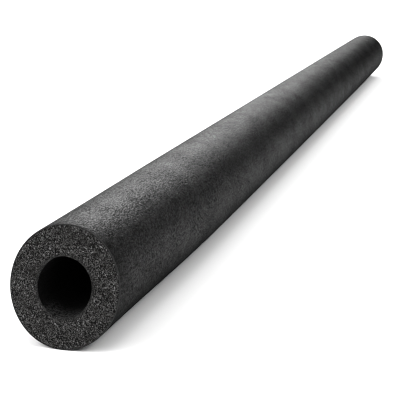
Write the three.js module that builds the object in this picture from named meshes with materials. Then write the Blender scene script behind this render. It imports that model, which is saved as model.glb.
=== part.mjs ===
// Pipe insulation lagging: one straight, unslit tube of black closed-cell rubber foam.
// Millimetres, +Z up. The tube lies along X on the plane z = 0, centred on the origin.
import * as THREE from "three";

// Driving dimensions
const LENGTH = 2000; // the length that such a tube is sold in
const BORE_DIAMETER = 49.5; // slips over a 48.3 mm steel pipe
const WALL = 26; // foam between the bore and the outside
const SIDES = 72; // flats that stand for each round wall

const boreRadius = BORE_DIAMETER / 2;
const outerRadius = boreRadius + WALL;
const halfStep = Math.PI / SIDES; // turns a flat, and not an edge, to the floor
const axisHeight = outerRadius * Math.cos(halfStep);

// The wall's section, a closed loop in (distance from the axis, place along it).
function wallSection() {
  const halfLength = LENGTH / 2;
  return [
    new THREE.Vector2(boreRadius, -halfLength),
    new THREE.Vector2(outerRadius, -halfLength),
    new THREE.Vector2(outerRadius, halfLength),
    new THREE.Vector2(boreRadius, halfLength),
    new THREE.Vector2(boreRadius, -halfLength),
  ];
}

// Foam with a smooth moulded skin outside and in the bore, and square cut ends.
function foamTube() {
  const foam = new THREE.MeshStandardMaterial({ color: 0x2b2b2b, roughness: 0.75, metalness: 0 });
  const turned = new THREE.LatheGeometry(wallSection(), SIDES, halfStep);
  const tube = new THREE.Mesh(turned, foam);
  tube.name = "foam_tube";
  tube.rotation.z = -Math.PI / 2; // the lathe's Y axis becomes X
  tube.position.z = axisHeight; // the outside touches the floor
  return tube;
}

const lagging = new THREE.Group();
lagging.add(foamTube());

export default lagging;
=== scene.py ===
# Looks for the pipe insulation lagging: one black rubber foam tube on a white studio floor.
# Metres, in the part's own frame: +X along the tube, +Z up, the floor at z = 0.
import math

import bpy
import numpy as np
from mathutils import Matrix, Vector, noise


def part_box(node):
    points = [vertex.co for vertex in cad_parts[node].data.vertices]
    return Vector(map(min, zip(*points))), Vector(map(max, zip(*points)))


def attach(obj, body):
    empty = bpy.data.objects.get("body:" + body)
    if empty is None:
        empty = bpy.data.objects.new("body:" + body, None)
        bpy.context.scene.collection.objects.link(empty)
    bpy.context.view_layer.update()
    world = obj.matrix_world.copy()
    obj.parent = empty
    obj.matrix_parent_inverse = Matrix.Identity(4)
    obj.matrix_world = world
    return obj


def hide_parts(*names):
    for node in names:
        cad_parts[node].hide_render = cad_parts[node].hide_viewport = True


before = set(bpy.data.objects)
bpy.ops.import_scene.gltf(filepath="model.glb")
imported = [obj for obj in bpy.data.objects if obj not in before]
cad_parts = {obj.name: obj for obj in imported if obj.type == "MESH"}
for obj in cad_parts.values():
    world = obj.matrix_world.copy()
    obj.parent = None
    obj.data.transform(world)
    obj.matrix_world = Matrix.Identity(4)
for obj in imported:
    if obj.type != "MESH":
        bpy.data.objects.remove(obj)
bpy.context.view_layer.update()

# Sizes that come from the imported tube, and the bore that goes with them
TUBE_LOW, TUBE_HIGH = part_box("foam_tube")
HALF_LENGTH = (TUBE_HIGH.x - TUBE_LOW.x) / 2
OUTER_RADIUS = (TUBE_HIGH.z - TUBE_LOW.z) / 2
AXIS_HEIGHT = (TUBE_HIGH.z + TUBE_LOW.z) / 2
BORE_RADIUS = 0.02475
WALL = OUTER_RADIUS - BORE_RADIUS

# How the tube lies out of true, as soft foam does
END_REACH = 0.38  # the ends lean and stand tall, and the tube is true again this far from them
END_RISE = 0.014  # share by which the ends are taller than the tube
END_LEAN = -0.06  # rise for each metre to the left
END_LIFT = math.hypot(1 + END_RISE, END_LEAN) - 1  # keeps them on the floor
PINCH = 0.067  # share by which the near end is narrower than the tube
PINCH_REACH = 0.3
PINCH_SHIFT = 0.0003
SAG_WIDTH = 0.018  # share by which the middle is wider than the tube
SAG_SHIFT = -0.0013  # how far it lies to the right
SAG_START = (-1.05, -0.76)  # where along the tube the sag grows
SAG_END = (-0.4, 0.8)  # where it fades away
SLANT_SIDE = math.tan(math.radians(1.1))  # the near cut is this far out of square
SLANT_UP = math.tan(math.radians(4.0))
SLANT_REACH = 0.15
NEAR_CUT_INSET = 0.0027  # keeps the slanted cut within a millimetre of the tube's stated length
BORE_WAVE = 0.0006  # how far the cuts leave the bore's edge off a true circle
BORE_WAVE_REACH = 0.05
BORE_WAVE_ROUND = 1.7  # the larger, the more waves go round
BORE_RIPPLE = 0.4  # smaller waves, as a share of the large ones
BORE_RIPPLE_ROUND = 3.1
BORE_WAVE_SEED = 5.0

# How finely the mesh follows the tube
AROUND = 384
SKIN_STEPS = 64
BORE_STEPS = 28
CUT_RINGS = 42
RIM_RADIUS = 0.0007  # rounding of the cut's two edges
RIM_TURNS = (0.0, 0.5, 1.0)  # the rounding's points, as shares of a quarter turn
PAST_RIM = RIM_RADIUS * 1.01

# Foam cells on the cut faces
CELL = 0.0016
CELL_WALL_SLOPE = 1.6
PIT_DEPTH = 0.0006
PIT_FADE = 0.0016  # the pits grow shallow this near the skin and the bore
CELL_SEED = 3.0
JITTER = 0.36  # share of the mesh's own spacing
JITTER_SEED = 11

# The skin, with its relief as features for each metre
SKIN_GRAIN = 800.0
SKIN_PEBBLE = 420.0
SKIN_MOTTLE = 110.0
SKIN_CLOUD = 30.0
SKIN_STRETCH = (0.65, 1.0, 1.0)  # draws the relief out along the tube
SKIN_GRAIN_DEPTH = 0.0015
SKIN_CLOUD_DEPTH = 0.004
SKIN_RELIEF_HEIGHTS = (0.03, 0.095)  # half as strong below the first, and full above the second
SKIN_GREYS = (0.005, 0.009)
SKIN_ROUGHNESS = 0.8
GLOSS_ROUGHNESS = 0.4
GLOSS_SHADE_HEIGHTS = (0.012, 0.06)  # painted shade: the gloss fades from the second height down to the first, standing in for the contact shadow by the floor
GLOSS_SHADED_LOWEST = 0.03
GLOSS_FALLOFF_PLACES = (-0.3, 1.0)  # painted falloff of light: the gloss also fades from the first place along the tube to the second
GLOSS_FALLOFF_FARTHEST = 0.68

# The cut foam, with its cells, torn edges, painted glints and dull patches as features for each metre
CUT_CELLS = 1450.0
CUT_TORN = 1650.0
CUT_PAINTED_GLINTS = 700.0
CUT_PAINTED_GLINT_STRETCH = (1.0, 1.1, 0.9)
CUT_PATCHES = 70.0
CUT_DEPTH = 0.0006
CUT_ROUGHNESS = 0.75
PIT_GREY = 0.0
CELL_GREY = 0.08
PAINTED_GLINT_GREY = 0.25
PATCH_GREY = 0.013
RIM_HIGHLIGHT_BAND = (0.015, 0.035)  # shares of the wall, from the skin in, where a painted highlight runs along the cut's outer edge
RIM_HIGHLIGHT_GREY = 0.032
SKIN_BAND = (0.03, 0.07)
SKIN_BAND_GREY = 0.008
BORE_BAND = (0.88, 0.97)
BORE_BAND_GREY = 0.014

# The bore's wall, smooth but for a lighter, grainy patch on its floor near each cut: painted light falling
# in at the mouth, with the cut's roughening
BORE_GRAIN = 600.0
BORE_LIT_ROUGH_ALONG = (0.968, 0.998)  # distances from the middle of the tube
BORE_LIT_BELOW = (0.028, 0.038)  # heights below which the painted light lies on the bore's floor
BORE_GREYS = (0.002, 0.005)
BORE_LIT_ROUGH_GREYS = (0.004, 0.04)
BORE_DEPTH = 0.0006

# A mix node's colour sockets
MIX_DARK, MIX_LIGHT, MIX_RESULT = 6, 7, 2

# Studio
FLOOR_SIZE = 60.0
FLOOR_WHITE = 0.7
FLOOR_ROUGHNESS = 0.9
SOFTBOXES = {  # azimuth from +X, elevation, width in degrees, and the light that each gives
    "back": (15.5, 31, 50, 1.12),
    "top": (-90, 65, 90, 0.70),
    "front": (180, 40, 80, 0.48),
    "left": (135, 20, 60, 0.56),
}

# Lamps that light the floor alone and so lift its shadow
FLOOR_SUNS = {  # from the right along the whole tube: azimuth, elevation, width in degrees, power
    "floor_sun_low": (-90, 42, 24, 1.48),
    "floor_sun_high": (-90, 78, 16, 0.55),
}
FLOOR_LAMP_PLACE = Vector((-1.25, 0.4, 0.45))  # beside the near end, on the left
FLOOR_LAMP_AIM = Vector((-1.0, 0.07, 0.0))
FLOOR_LAMP_SIZE = 0.3
FLOOR_LAMP_POWER = 4.0

# Camera, from a fit to the tube's outline
CAMERA_PLACE = Vector((-1.727, -0.3121, 0.309))
CAMERA_TURN = math.radians(15.38)  # from +X towards +Y
CAMERA_DIP = math.radians(13.32)
CAMERA_SIGHT = 200.0
FOCAL_LENGTH = 93.8
SENSOR = 36.0
PIXEL_FILTER = 1.1  # narrower than usual, so that the fine grain stays crisp


def smooth(t):
    """0 below 0, 1 above 1, and a soft step between."""
    t = np.clip(t, 0.0, 1.0)
    return t * t * (3.0 - 2.0 * t)


def ramp(x, start, end):
    """A soft step from 0 at the start to 1 at the end."""
    return smooth((x - start) / (end - start))


# The tube's mesh: rings of points, closed into one ring of rings
SKIN, CUT, BORE = 0, 1, 2


def rim(x, depth, into_x, into_depth):
    """Points that round an edge: along the wall first, and then into the cut."""
    points = []
    for turn in RIM_TURNS:
        angle = turn * math.pi / 2
        points.append((x + into_x * RIM_RADIUS * (1 - math.sin(angle)),
                       depth + into_depth * RIM_RADIUS * (1 - math.cos(angle))))
    return points


def wall_section():
    """The wall's outline as (x, distance in from the skin, kind of surface), once round."""
    rows = []
    near = -HALF_LENGTH + RIM_RADIUS
    far = HALF_LENGTH - RIM_RADIUS
    for k in range(SKIN_STEPS + 1):
        rows.append((near + (far - near) * k / SKIN_STEPS, 0.0, SKIN))
    for x, depth in rim(HALF_LENGTH, 0.0, -1, 1)[1:]:
        rows.append((x, depth, CUT))
    for k in range(1, CUT_RINGS):
        rows.append((HALF_LENGTH, RIM_RADIUS + (WALL - 2 * RIM_RADIUS) * k / CUT_RINGS, CUT))
    for x, depth in rim(HALF_LENGTH, WALL, -1, -1)[:0:-1]:
        rows.append((x, depth, CUT))
    for k in range(BORE_STEPS + 1):
        rows.append((far + (near - far) * k / BORE_STEPS, WALL, BORE))
    for x, depth in rim(-HALF_LENGTH, WALL, 1, -1)[1:]:
        rows.append((x, depth, CUT))
    for k in range(1, CUT_RINGS):
        rows.append((-HALF_LENGTH, WALL - RIM_RADIUS - (WALL - 2 * RIM_RADIUS) * k / CUT_RINGS, CUT))
    for x, depth in rim(-HALF_LENGTH, 0.0, 1, 1)[:0:-1]:
        rows.append((x, depth, CUT))
    return rows


def cell_pit(y, z, seed):
    """0 on the thin walls between foam cells and 1 in the middle of a cell."""
    spot = Vector((y / CELL, z / CELL, seed))
    distances = noise.voronoi(spot)[0]
    return min(1.0, (distances[1] - distances[0]) * CELL_WALL_SLOPE)


def cut_pits(x, y, z, inset):
    """How deep each point of a cut face lies in its foam cell, from 0 to 1."""
    pits = np.array([cell_pit(a, b, math.copysign(CELL_SEED, x)) for a, b in zip(y, z)])
    return pits * smooth(np.minimum(inset, WALL - inset) / PIT_FADE)


def bore_wander(turn, end, depth):
    """How far the cut leaves the bore's edge out of true, fading away towards the skin."""
    spots = [Vector((BORE_WAVE_ROUND * math.cos(t), BORE_WAVE_ROUND * math.sin(t), BORE_WAVE_SEED * end))
             for t in turn]
    wander = np.array([noise.noise(spot) + BORE_RIPPLE * noise.noise(spot * BORE_RIPPLE_ROUND)
                       for spot in spots])
    return BORE_WAVE * wander * smooth(depth / WALL * 2.0 - 1.0)


def out_of_true(x, along, y, z):
    """Leans, pinches and sags the points of one ring, and slants the near cut."""
    near = 1 - ramp(x, -HALF_LENGTH, END_REACH - HALF_LENGTH)
    far = ramp(x, HALF_LENGTH - END_REACH, HALF_LENGTH)
    pinch = 1 - ramp(x, -HALF_LENGTH, PINCH_REACH - HALF_LENGTH)
    sag = ramp(x, *SAG_START) * (1 - ramp(x, *SAG_END))
    y = y * (1 - PINCH * pinch + SAG_WIDTH * sag) + PINCH_SHIFT * pinch + SAG_SHIFT * sag
    z = z * (1 + END_RISE * (near + far)) + (END_LIFT * OUTER_RADIUS + END_LEAN * y) * (near + far)
    slant = max(0.0, 1 - (x + HALF_LENGTH) / SLANT_REACH)
    along = along + slant * (SLANT_SIDE * y + SLANT_UP * z + NEAR_CUT_INSET)
    return along, y, z


def tube_points(rows):
    """Every point of the tube, ring by ring, with its share of the way from skin to bore."""
    rng = np.random.default_rng(JITTER_SEED)
    points = np.zeros((len(rows), AROUND, 3))
    shares = np.zeros((len(rows), AROUND))
    pits = np.zeros((len(rows), AROUND))
    step = 2 * math.pi / AROUND
    ring_gap = WALL / CUT_RINGS
    angles = np.arange(AROUND) * step
    for i, (x, depth, kind) in enumerate(rows):
        flat_cut = kind == CUT and PAST_RIM < depth < WALL - PAST_RIM
        turn = angles.copy()
        inset = np.full(AROUND, depth)
        along = np.full(AROUND, x)
        if flat_cut:
            turn += rng.uniform(-JITTER, JITTER, AROUND) * step
            inset += rng.uniform(-JITTER, JITTER, AROUND) * ring_gap
        near_an_end = smooth(1 - (HALF_LENGTH - abs(x)) / BORE_WAVE_REACH)
        if near_an_end > 0:
            inset += near_an_end * bore_wander(turn, math.copysign(1.0, x), inset)
        y = (OUTER_RADIUS - inset) * np.cos(turn)
        z = (OUTER_RADIUS - inset) * np.sin(turn)
        if flat_cut:
            pits[i] = cut_pits(x, y, z, inset)
            along -= np.sign(x) * PIT_DEPTH * pits[i]
        along, y, z = out_of_true(x, along, y, z)
        points[i] = np.stack([along, y, z + AXIS_HEIGHT], axis=1)
        shares[i] = inset / WALL
    return points, shares, pits


def tube_mesh():
    """The whole tube as one closed mesh, with its kind of surface as material index."""
    rows = wall_section()
    points, shares, pits = tube_points(rows)
    count = len(rows)
    ring = np.arange(count)[:, None]
    spot = np.arange(AROUND)[None, :]
    next_ring = (ring + 1) % count
    next_spot = (spot + 1) % AROUND
    corners = [ring * AROUND + spot, ring * AROUND + next_spot,
               next_ring * AROUND + next_spot, next_ring * AROUND + spot]
    quads = np.stack(corners, axis=2).reshape(-1, 4)
    mesh = bpy.data.meshes.new("foam_tube_skin")
    mesh.from_pydata(points.reshape(-1, 3).tolist(), [], quads.tolist())
    kinds = np.array([CUT if CUT in (row[2], rows[(i + 1) % count][2]) else row[2]
                      for i, row in enumerate(rows)])
    mesh.polygons.foreach_set("material_index", np.repeat(kinds, AROUND).astype(np.int32))
    mesh.polygons.foreach_set("use_smooth", np.ones(len(mesh.polygons), dtype=bool))
    for name, values in (("wall_share", shares), ("pit", pits)):
        layer = mesh.attributes.new(name, "FLOAT", "POINT")
        layer.data.foreach_set("value", values.reshape(-1).astype(np.float32))
    mesh.update()
    mesh.validate()
    return mesh


class Nodes:
    """A short way to add and join the nodes of one tree."""

    def __init__(self, tree):
        self.tree = tree

    def add(self, kind, settings=None, **inputs):
        node = self.tree.nodes.new(kind)
        for key, value in (settings or {}).items():
            setattr(node, key, value)
        for key, value in inputs.items():
            self.feed(node.inputs[key.replace("_", " ")], value)
        return node

    def feed(self, socket, value):
        if isinstance(value, bpy.types.NodeSocket):
            self.tree.links.new(value, socket)
        else:
            socket.default_value = value

    def math(self, operation, a, b=0.0):
        node = self.add("ShaderNodeMath", {"operation": operation})
        self.feed(node.inputs[0], a)
        self.feed(node.inputs[1], b)
        return node.outputs[0]

    def noise(self, place, scale, detail=3.0, roughness=0.55):
        node = self.add("ShaderNodeTexNoise", None, Vector=place, Scale=scale, Detail=detail,
                        Roughness=roughness)
        return node.outputs["Fac"]

    def cells(self, place, scale):
        """How far each spot lies from the middle of its cell, and one random shade for each cell."""
        node = self.add("ShaderNodeTexVoronoi", None, Vector=place, Scale=scale)
        shade = self.add("ShaderNodeSeparateColor", None, Color=node.outputs["Color"])
        return node.outputs["Distance"], shade.outputs["Red"]

    def fit(self, value, low, high, to_low, to_high):
        """A soft step from to_low to to_high while the value goes from low to high."""
        node = self.add("ShaderNodeMapRange", {"interpolation_type": "SMOOTHSTEP"}, Value=value)
        for key, number in (("From Min", low), ("From Max", high), ("To Min", to_low), ("To Max", to_high)):
            self.feed(node.inputs[key], number)
        return node.outputs["Result"]

    def blend(self, factor, dark, light):
        """The dark colour where the factor is 0 and the light one where it is 1."""
        node = self.add("ShaderNodeMix", {"data_type": "RGBA"})
        self.feed(node.inputs["Factor"], factor)
        self.feed(node.inputs[MIX_DARK], dark)
        self.feed(node.inputs[MIX_LIGHT], light)
        return node.outputs[MIX_RESULT]

    def bump(self, height, strength, distance, under=None):
        node = self.add("ShaderNodeBump", None, Height=height, Strength=strength, Distance=distance)
        if under is not None:
            self.feed(node.inputs["Normal"], under)
        return node.outputs["Normal"]

    def place(self, stretch=(1.0, 1.0, 1.0)):
        coordinates = self.add("ShaderNodeTexCoord").outputs["Object"]
        mapping = self.add("ShaderNodeMapping", None, Vector=coordinates, Scale=stretch)
        return mapping.outputs["Vector"]

    def mesh_value(self, name):
        return self.add("ShaderNodeAttribute", {"attribute_name": name}).outputs["Fac"]


class Surface(Nodes):
    """The nodes of one new material."""

    def __init__(self, name):
        self.material = bpy.data.materials.new(name)
        self.material.use_nodes = True
        super().__init__(self.material.node_tree)
        self.shader = self.tree.nodes["Principled BSDF"]


def grey(value, warmth=0.0):
    return (value * (1 + warmth), value, value * (1 - warmth), 1.0)


def skin_material():
    """The moulded outer skin: near black and matt, with a thin rubbed gloss on the tops of its grain,
    turned down towards the floor and towards the far end as painted shade.
    """
    n = Surface("foam_skin")
    drawn = n.place(SKIN_STRETCH)
    grain = n.noise(drawn, SKIN_GRAIN, 1.0, 0.5)
    pebble = n.noise(drawn, SKIN_PEBBLE, 2.0, 0.6)
    mottle = n.noise(drawn, SKIN_MOTTLE, 3.0, 0.6)
    cloud = n.noise(drawn, SKIN_CLOUD, 3.0, 0.6)
    colour = n.blend(n.fit(mottle, 0.3, 0.7, 0.0, 1.0), *map(grey, SKIN_GREYS))
    n.feed(n.shader.inputs["Base Color"], colour)
    n.shader.inputs["Roughness"].default_value = SKIN_ROUGHNESS
    n.shader.inputs["Specular IOR Level"].default_value = 0.0
    gloss_and_shade = n.math("ADD", n.fit(grain, 0.4, 0.6, 0.1, 0.27), n.fit(pebble, 0.35, 0.65, 0.0, 0.17))
    gloss_and_shade = n.math("ADD", gloss_and_shade, n.fit(cloud, 0.3, 0.7, -0.06, 0.04))
    where = n.add("ShaderNodeSeparateXYZ", None, Vector=n.place()).outputs
    # Painted shade: the gloss is turned down towards the floor, where the contact shadow falls
    gloss_and_shade = n.math("MULTIPLY", gloss_and_shade, n.fit(where["Z"], *GLOSS_SHADE_HEIGHTS, GLOSS_SHADED_LOWEST, 1.0))
    # Painted falloff of light: the gloss is turned down towards the far end, where less light falls
    gloss_and_shade = n.math("MULTIPLY", gloss_and_shade, n.fit(where["X"], *GLOSS_FALLOFF_PLACES, 1.0, GLOSS_FALLOFF_FARTHEST))
    n.feed(n.shader.inputs["Coat Weight"], gloss_and_shade)
    n.shader.inputs["Coat Roughness"].default_value = GLOSS_ROUGHNESS
    height = n.math("ADD", n.math("MULTIPLY", grain, 0.5), n.math("MULTIPLY", pebble, 0.5))
    swell = n.bump(cloud, 0.3, SKIN_CLOUD_DEPTH)
    strength = n.fit(where["Z"], *SKIN_RELIEF_HEIGHTS, 0.5, 1.0)
    relief = n.bump(height, strength, SKIN_GRAIN_DEPTH, swell)
    n.feed(n.shader.inputs["Normal"], relief)
    n.feed(n.shader.inputs["Coat Normal"], relief)
    return n.material


def cut_material():
    """The cut foam: fine cells with pale walls and black pits, smoother beside the skin and the bore. Its
    colour also holds painted shade in the mesh's deep pits, painted glints and a painted highlight along
    the outer edge.
    """
    n = Surface("cut_foam")
    place = n.place()
    share = n.mesh_value("wall_share")
    pit = n.mesh_value("pit")
    cells, shade = n.cells(place, CUT_CELLS)
    torn = n.noise(place, CUT_TORN, 1.0, 0.5)
    painted_glint = n.fit(n.noise(n.place(CUT_PAINTED_GLINT_STRETCH), CUT_PAINTED_GLINTS, 1.0), 0.62, 0.72, 0.0, 1.0)
    patches = n.noise(place, CUT_PATCHES, 2.0)
    wall = n.math("ADD", n.fit(torn, 0.42, 0.62, 0.0, 0.35), n.fit(cells, 0.15, 0.75, 0.0, 0.3))
    wall = n.math("ADD", wall, n.fit(shade, 0.1, 0.9, -0.5, 0.7))
    # Painted shade: the colour darkens where the mesh's pits lie deep, as if shade fell in them; the same
    # value shapes the bump
    wall = n.math("SUBTRACT", wall, n.math("MULTIPLY", pit, 0.35))
    colour = n.blend(n.fit(wall, 0.28, 1.0, 0.0, 1.0), grey(PIT_GREY), grey(CELL_GREY, 0.02))
    # Painted highlight: bright glints painted into the cut foam's colour
    colour = n.blend(n.math("MULTIPLY", painted_glint, 0.8), colour, grey(PAINTED_GLINT_GREY))
    colour = n.blend(n.fit(patches, 0.45, 0.7, 0.0, 0.4), colour, grey(PATCH_GREY, 0.05))
    colour = n.blend(n.fit(share, *BORE_BAND, 0.0, 0.6), colour, grey(BORE_BAND_GREY))
    colour = n.blend(n.fit(share, *SKIN_BAND, 0.8, 0.0), colour, grey(SKIN_BAND_GREY))
    # Painted highlight: a thin lighter line along the cut's outer edge, as if the rim caught the light
    colour = n.blend(n.fit(share, *RIM_HIGHLIGHT_BAND, 1.0, 0.0), colour, grey(RIM_HIGHLIGHT_GREY))
    n.feed(n.shader.inputs["Base Color"], colour)
    n.shader.inputs["Roughness"].default_value = CUT_ROUGHNESS
    n.shader.inputs["Specular IOR Level"].default_value = 0.1
    n.feed(n.shader.inputs["Normal"], n.bump(wall, 1.0, CUT_DEPTH))
    return n.material


def bore_material():
    """The bore's wall: duller than the outside, with a lighter, grainy patch on its floor for the first few
    centimetres from each cut, which is painted light falling in at the mouth as well as the cut's
    roughening.
    """
    n = Surface("bore_skin")
    place = n.place()
    where = n.add("ShaderNodeSeparateXYZ", None, Vector=place).outputs
    grain = n.fit(n.noise(place, BORE_GRAIN, 1.0), 0.4, 0.6, 0.0, 1.0)
    near_cut = n.fit(n.math("ABSOLUTE", where["X"]), *BORE_LIT_ROUGH_ALONG, 0.0, 1.0)
    floor_lit = n.fit(where["Z"], *BORE_LIT_BELOW, 1.0, 0.0)
    smooth_skin = n.blend(grain, *map(grey, BORE_GREYS))
    lit_rough_skin = n.blend(grain, *map(grey, BORE_LIT_ROUGH_GREYS))
    # Painted light: the bore's floor near each cut is lighter, as if lit through the mouth, and grainy from
    # the cut
    colour = n.blend(n.math("MULTIPLY", near_cut, floor_lit), smooth_skin, lit_rough_skin)
    n.feed(n.shader.inputs["Base Color"], colour)
    n.feed(n.shader.inputs["Roughness"], n.fit(grain, 0.0, 1.0, 0.85, 0.95))
    n.shader.inputs["Specular IOR Level"].default_value = 0.05
    n.feed(n.shader.inputs["Normal"], n.bump(grain, 0.4, BORE_DEPTH))
    return n.material


def make_tube():
    tube = bpy.data.objects.new("foam_tube_skin", tube_mesh())
    bpy.context.scene.collection.objects.link(tube)
    for material in (skin_material(), cut_material(), bore_material()):
        tube.data.materials.append(material)
    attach(tube, "root")
    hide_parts("foam_tube")
    return tube


def direction(azimuth, elevation):
    """The unit vector that points to a light from the object."""
    around, up = math.radians(azimuth), math.radians(elevation)
    return Vector((math.cos(up) * math.cos(around), math.cos(up) * math.sin(around), math.sin(up)))


def make_floor():
    """A matt white floor, wide enough to fill the picture."""
    half = FLOOR_SIZE / 2
    mesh = bpy.data.meshes.new("floor")
    corners = [(-half, -half, 0), (half, -half, 0), (half, half, 0), (-half, half, 0)]
    mesh.from_pydata(corners, [], [(0, 1, 2, 3)])
    floor = bpy.data.objects.new("floor", mesh)
    bpy.context.scene.collection.objects.link(floor)
    n = Surface("floor_white")
    n.shader.inputs["Base Color"].default_value = grey(FLOOR_WHITE)
    n.shader.inputs["Roughness"].default_value = FLOOR_ROUGHNESS
    n.shader.inputs["Specular IOR Level"].default_value = 0.0
    mesh.materials.append(n.material)
    return floor


def add_lamp(name, kind, power, towards, place=(0, 0, 0)):
    """A lamp that shines from the given direction."""
    light = bpy.data.lights.new(name, kind)
    light.energy = power
    lamp = bpy.data.objects.new(name, light)
    lamp.rotation_mode = "QUATERNION"
    lamp.rotation_quaternion = towards.to_track_quat("Z", "Y")
    lamp.location = place
    bpy.context.scene.collection.objects.link(lamp)
    return lamp


def make_floor_lamps(floor):
    """The lamps that light the floor alone."""
    lamps = []
    for name, (azimuth, elevation, width, power) in FLOOR_SUNS.items():
        sun = add_lamp(name, "SUN", power, direction(azimuth, elevation))
        sun.data.angle = math.radians(width)
        lamps.append(sun)
    towards = FLOOR_LAMP_PLACE - FLOOR_LAMP_AIM
    near_lamp = add_lamp("floor_lamp", "AREA", FLOOR_LAMP_POWER, towards, FLOOR_LAMP_PLACE)
    near_lamp.data.size = FLOOR_LAMP_SIZE
    lamps.append(near_lamp)
    lit = bpy.data.collections.new("lit_floor")
    lit.objects.link(floor)
    for lamp in lamps:
        lamp.light_linking.receiver_collection = lit


def make_studio():
    """White to the camera, and to everything else a dark studio with a few large soft boxes."""
    world = bpy.data.worlds.new("studio")
    bpy.context.scene.world = world
    world.use_nodes = True
    world.cycles.sampling_method = "NONE"
    n = Nodes(world.node_tree)
    towards = n.add("ShaderNodeTexCoord").outputs["Generated"]
    total = 0.0
    for azimuth, elevation, width, light in SOFTBOXES.values():
        edge = math.cos(math.radians(width / 2))
        facing = n.add("ShaderNodeVectorMath", {"operation": "DOT_PRODUCT"})
        n.feed(facing.inputs[0], towards)
        n.feed(facing.inputs[1], direction(azimuth, elevation))
        glow = n.fit(facing.outputs["Value"], edge, 1.0, 0.0, light / (1.0 - edge))
        total = n.math("ADD", total, glow)
    fill = n.tree.nodes["Background"]
    n.feed(fill.inputs["Color"], (1, 1, 1, 1))
    n.feed(fill.inputs["Strength"], total)
    backdrop = n.add("ShaderNodeBackground", None, Color=(1, 1, 1, 1))
    seen = n.add("ShaderNodeLightPath").outputs["Is Camera Ray"]
    pick = n.add("ShaderNodeMixShader")
    for socket, value in zip(pick.inputs, (seen, fill.outputs[0], backdrop.outputs[0])):
        n.feed(socket, value)
    n.feed(n.tree.nodes["World Output"].inputs["Surface"], pick.outputs[0])


def make_camera():
    data = bpy.data.cameras.new("camera")
    data.lens = FOCAL_LENGTH
    data.sensor_width = SENSOR
    data.clip_end = CAMERA_SIGHT
    camera = bpy.data.objects.new("camera", data)
    bpy.context.scene.collection.objects.link(camera)
    flat = math.cos(CAMERA_DIP)
    ahead = Vector((flat * math.cos(CAMERA_TURN), flat * math.sin(CAMERA_TURN), -math.sin(CAMERA_DIP)))
    turn = ahead.to_track_quat("-Z", "Y").to_matrix().to_4x4()
    camera.matrix_world = Matrix.Translation(CAMERA_PLACE) @ turn
    bpy.context.scene.camera = camera


make_tube()
make_floor_lamps(make_floor())
make_studio()
make_camera()
bpy.context.scene.view_settings.view_transform = "Standard"
bpy.context.scene.cycles.filter_width = PIXEL_FILTER
